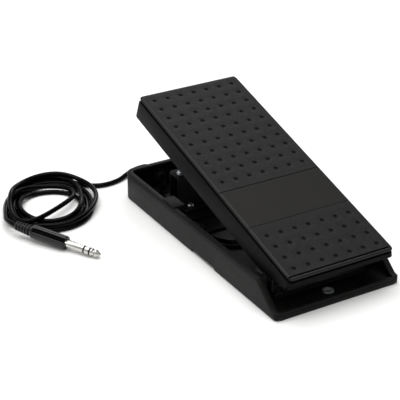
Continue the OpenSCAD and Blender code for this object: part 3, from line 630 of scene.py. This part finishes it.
# Under its edge the skin steps in, which leaves a shadow gap above the skirt
last = rim
for inset, z in [(0, 25.95), (0.2, 25.75), (1.25, 25.7), (1.35, UNDER_COVER)]:
    half, low, high = (TREAD_HALF - 0.5 - inset) * MM, (TREAD_HEEL + inset) * MM, (TREAD_TOE - inset) * MM
    ring = [bm.verts.new((min(max(v.co.x, -half), half), min(max(v.co.y, low), high), z * MM)) for v in rim]
    for k in range(len(rim)):
        n = (k + 1) % len(rim)
        bm.faces.new((last[k], ring[k], ring[n], last[n]))
    last = ring
bm.faces.new(last)
for v in bm.verts:
    x, y = corner_in(v.co.x / MM, v.co.y / MM)
    v.co.x, v.co.y = x * MM, y * MM
piece("tread_skin", bm, "treadle", "cover_plastic", ["tread_cover"], ON_TREADLE,
      materials=[FINISHES["cover_plastic"], PANEL, PIT, EDGE])


# ---- plug, turned on its own axis ----

def aimed(at, ahead, up=(0, 0, 1)):
    """Places a piece turned about Z so that its Z runs along ahead."""
    z = Vector(ahead).normalized()
    y = z.cross(Vector(up).cross(z)).normalized()
    x = y.cross(z)
    return Matrix.Translation(Vector(at) * MM) @ Matrix((x, y, z)).transposed().to_4x4() @ Matrix.Scale(1, 4)


PLUG_AT = (-135.4, 56.3, 5.6)
YAW, DIP = math.radians(-59), math.radians(4.2)
PLUG_WAY = (math.cos(DIP) * math.cos(YAW), math.cos(DIP) * math.sin(YAW), -math.sin(DIP))
ON_PLUG = aimed(PLUG_AT, PLUG_WAY)


def turned(name, profile, body, slot, place, flute=None, steps=64):
    """A turned or round moulded piece, which stands for the CAD node of the same name. Its grooves get a darker
    finish, which is painted shade.
    """
    bm = bmesh.new()
    spin(bm, profile, steps, flute)
    if flute:
        # Faces down in the grooves take the darker finish: painted shade
        for face in bm.faces:
            at = face.calc_center_median() / MM
            in_groove = 3 - HANDLE_L < at.z < -0.6 and math.hypot(at.x, at.y) < HANDLE_R - 0.5
            face.material_index = int(in_groove)
    return piece(f"{name}_turned", bm, body, slot, [name], place,
                 materials=[FINISHES[slot], GROOVE_SHADE] if flute else None)


def rounded(profile, radius, steps=3):
    """The profile with each inner corner eased by a small radius."""
    made = [profile[0]]
    for before, at, after in zip(profile, profile[1:], profile[2:]):
        a, b, c = (Vector(p) for p in (before, at, after))
        back, on = a - b, c - b
        r = min(radius, back.length * 0.45, on.length * 0.45)
        start, end = b + back.normalized() * r, b + on.normalized() * r
        for k in range(steps + 1):
            t = k / steps
            made.append(tuple((1 - t) ** 2 * start + 2 * t * (1 - t) * b + t * t * end))
    return made + [profile[-1]]


HANDLE_L = 33
HANDLE_R = 5.5
SHANK_R = 3.175
INSULATOR_R = 3.1
GRIP_TURN = math.radians(133)


def grip_flute(z, angle):
    """Two flat-bottomed grooves along the handle, open at its front."""
    away = min(abs((angle - GRIP_TURN + k * math.pi + math.pi / 2) % (2 * math.pi) - math.pi / 2) for k in (0, 1))
    along = min(max((z + HANDLE_L - 3) / 1.2, 0), 1)
    return 1.7 * along * min(max((0.36 - away) / 0.06, 0), 1)


plug_pieces = [
    turned("plug_handle", rounded([(-HANDLE_L, 0.5), (-HANDLE_L, 4.2), (-HANDLE_L + 2, HANDLE_R)], 0.8)
           + [(z, HANDLE_R) for z in np.linspace(-HANDLE_L + 2.6, -1.6, 24)]
           + rounded([(-1.2, HANDLE_R), (-0.3, 5.2), (0, 4.4), (0, 0.5)], 0.5), "base", "plug_pvc", ON_PLUG,
           grip_flute, 120),
    turned("plug_sleeve", rounded([(-1, 0.5), (-1, SHANK_R), (15.75, SHANK_R), (16, SHANK_R - 0.25), (16, 0.5)],
                                  0.1), "base", "chrome", ON_PLUG),
    turned("plug_rear_insulator", [(15.9, 0.5), (15.9, INSULATOR_R), (17.3, INSULATOR_R), (17.3, 0.5)],
           "base", "plug_pvc", ON_PLUG),
    turned("plug_ring", rounded([(17.2, 0.5), (17.2, 2.95), (17.45, SHANK_R), (20.75, SHANK_R), (21, 2.95),
                                 (21, 0.5)], 0.1), "base", "chrome", ON_PLUG),
    turned("plug_front_insulator", [(20.9, 0.5), (20.9, INSULATOR_R), (22.3, INSULATOR_R), (22.3, 0.5)],
           "base", "plug_pvc", ON_PLUG),
    turned("plug_tip", rounded([(22.2, 0.5), (22.2, 2.95), (22.45, SHANK_R), (23.3, SHANK_R), (24.4, 2.2),
                                (24.9, 2.1), (25.3, 2.25), (26.3, 3.1), (26.9, 3.1), (29.3, 1.7), (30.1, 1.2),
                                (30.5, 0.55), (30.5, 0.2)], 0.3), "base", "chrome", ON_PLUG),
]
boot = [(-48, 0.5), (-48, 2.4), (-47.4, 2.7)]
for k in range(5):
    low, core, rib = -46.8 + 2.8 * k, 2.7 + 0.17 * k, 3.7 + 0.2 * k
    boot += [(low, core), (low + 0.12, rib - 0.12), (low + 0.35, rib), (low + 1.2, rib + 0.04),
             (low + 1.45, rib - 0.1), (low + 1.6, core + 0.1)]
boot += [(-32.8, 3.6), (-32.8, 0.5)]
plug_pieces.append(turned("plug_boot", rounded(boot, 0.12, 2), "base", "plug_pvc", ON_PLUG))
ON_EXIT = aimed((-22, TOE_Y, 12), (0, 1, 0))
turned("cord_gland", rounded([(-7, 2.1), (-7, 3.6), (-3.8, 3.6), (-3.8, 5.6), (-2.6, 5.6), (-2.6, 4.5), (0, 4.5),
                              (0, 6), (1.3, 5.8), (1.5, 4.3), (3.4, 3.6), (3.6, 3.9), (4.4, 3.8), (4.6, 3.4),
                              (5.6, 3.15), (5.8, 3.5), (6.5, 3.4), (6.7, 3), (8, 2.7), (8, 0.5)], 0.25),
       "base", "rubber", ON_EXIT)


# ---- foot screws: low domed heads with a shallow cross ----

FOOT_SCREW_YS = (-99.8, 102)
bm = bmesh.new()
brim = [(0, 4.4), (0.5, 4.4), (0.85, 4.2), (1.15, 3.6), (1.35, 2.8)]
dome = [(1.5 - r * r * 0.02, r) for r in (2.2, 2.1, 1.9, 1.6, 1.3, 1, 0.7, 0.45)]
for y in FOOT_SCREW_YS:
    spin(bm, [(0.5, 1.55), (FLOOR_Z, 1.55)], 24, centre=(0, y))
    spin(bm, [(FLOOR_Z + z, r) for z, r in brim + dome], 72, centre=(0, y))
    for v in bm.verts:
        x, along_y = abs(v.co.x / MM), abs(v.co.y / MM - y)
        if v.co.z / MM > FLOOR_Z + 1.2 and min(x, along_y) < 0.38 and max(x, along_y) < 2:
            v.co.z -= 0.35 * MM
piece("foot_screws_domed", bm, "base", "zinc_steel", ["foot_screws"])


# ---- the other parts keep the CAD shape, with their edges rounded where they are plain ----

PLAIN = {"pivot_bracket": 0.25, "toe_stop_bracket": 0.25, "pot_bracket": 0.25, "toe_bumper": 0.7,
         "heel_stop_pads": 0.5, "rubber_feet": 0.4, "cable_clamp": 0.4, "axle_clips": 0.12}
for node, radius in PLAIN.items():
    slot = next(s["material_slot"] for s in frame["record"]["subparts"] if s["node"] == node)
    rounded_copy(node, radius, "base", slot)
for subpart in frame["record"]["subparts"]:
    node = frame["nodes"][subpart["node"]]
    if not node.hide_render:
        for k in range(len(node.material_slots)):
            node.material_slots[k].material = FINISHES[subpart["material_slot"]]


# ---- floor and light ----

plane = bpy.data.meshes.new("floor")
plane.from_pydata([(-4, -4, 0), (4, -4, 0), (4, 4, 0), (-4, 4, 0)], [], [(0, 1, 2, 3)])
floor = bpy.data.objects.new("floor", plane)
bpy.context.scene.collection.objects.link(floor)
plane.materials.append(surface("paper_white_matt", "#f4f4f3", "#f8f8f7", 1.2, 0.01, (0.85, 0.95), patch=300))


def softbox(name, at, aim, size, power):
    light = bpy.data.lights.new(name, "AREA")
    light.shape = "RECTANGLE"
    light.size, light.size_y = size
    light.energy = power
    made = bpy.data.objects.new(name, light)
    bpy.context.scene.collection.objects.link(made)
    made.location = at
    made.rotation_mode = "QUATERNION"
    made.rotation_quaternion = (Vector(aim) - Vector(at)).to_track_quat("-Z", "Y")
    return made


softbox("overhead", (-0.1, 0.15, 1.4), (0, 0, 0), (1.5, 1.5), 20)
softbox("left", (-1.3, 0.35, 0.75), (0, 0, 0.03), (0.3, 0.9), 1.6)
softbox("back", (0.72, 1.15, 0.72), (0, 0, 0.03), (0.5, 0.2), 1.5)
world = bpy.data.worlds.new("studio")
bpy.context.scene.world = world
world.use_nodes = True
world.node_tree.nodes["Background"].inputs["Color"].default_value = (1, 1, 1, 1)
world.node_tree.nodes["Background"].inputs["Strength"].default_value = 0.55
bpy.context.scene.view_settings.view_transform = "Standard"
